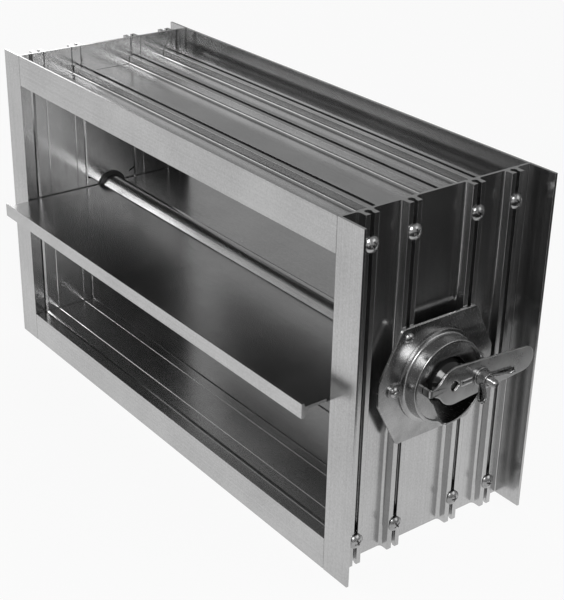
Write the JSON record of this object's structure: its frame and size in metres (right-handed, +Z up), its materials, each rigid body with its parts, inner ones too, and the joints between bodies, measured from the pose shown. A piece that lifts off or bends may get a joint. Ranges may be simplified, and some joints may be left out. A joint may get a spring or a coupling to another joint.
{
  "type": "manual control damper",
  "caption": "Rectangular duct damper: an extruded aluminium flanged frame with one pivoting blade, set by a flat handle and wing nut on a round side lock.",
  "frame": {"origin": "centre of the duct opening, on the axis of the blade's shafts", "axes": "+X along the blade towards the lock, +Y from the front face to the back along the air flow, +Z up"},
  "size_m": [0.4822, 0.208, 0.26],
  "materials": {
    "frame_aluminium": "mill finish with fine lengthwise die lines",
    "blade_aluminium": "satin mill finish",
    "shaft_steel": "bright zinc-plated steel",
    "black_nylon": "black nylon",
    "zinc_plate": "bright zinc-plated pressed steel",
    "screw_zinc": "bright zinc-plated steel",
    "nut_zinc": "zinc-plated pressed steel, slightly worn",
    "grub_steel": "black oxide steel"
  },
  "bodies": {
    "frame": {"left_side_profile": "frame_aluminium", "right_side_profile": "frame_aluminium", "top_profile": "frame_aluminium", "bottom_profile": "frame_aluminium", "left_bush": "black_nylon", "right_bush": "black_nylon", "left_top_screws": "screw_zinc", "left_bottom_screws": "screw_zinc", "right_top_screws": "screw_zinc", "right_bottom_screws": "screw_zinc", "lock_plate": "zinc_plate", "lock_plate_screws": "screw_zinc", "lock_drum": "zinc_plate", "drum_rivets": "zinc_plate"},
    "blade": {"blade": "blade_aluminium", "drive_shaft": "shaft_steel", "idle_shaft": "shaft_steel", "blade_grub_screws": "grub_steel", "idle_shaft_washer": "shaft_steel", "idle_shaft_snap_ring": "shaft_steel", "lock_hub": "black_nylon", "hub_set_screw": "grub_steel", "lever": "zinc_plate", "clamp_bolt": "screw_zinc"},
    "clamp_washer": {"clamp_washer": "screw_zinc"},
    "wing_nut": {"wing_nut": "nut_zinc"}
  },
  "joints": [
    {"name": "blade_turn", "type": "hinge", "parent": "frame", "child": "blade", "pos_m": [0, 0, 0], "axis": [-1, 0, 0], "range_deg": [0, 90]},
    {"name": "washer_slide", "type": "slide", "parent": "blade", "child": "clamp_washer", "axis": [1, 0, 0], "range_m": [0, 0.002]},
    {"name": "wing_nut_turn", "type": "hinge", "parent": "clamp_washer", "child": "wing_nut", "pos_m": [0.24, 0.0235, 0], "axis": [1, 0, 0], "range_deg": [0, 720]}
  ],
  "couplings": [
    {"joint": "washer_slide", "follows": "wing_nut_turn", "m_per_rad": 0.00015915}
  ]
}
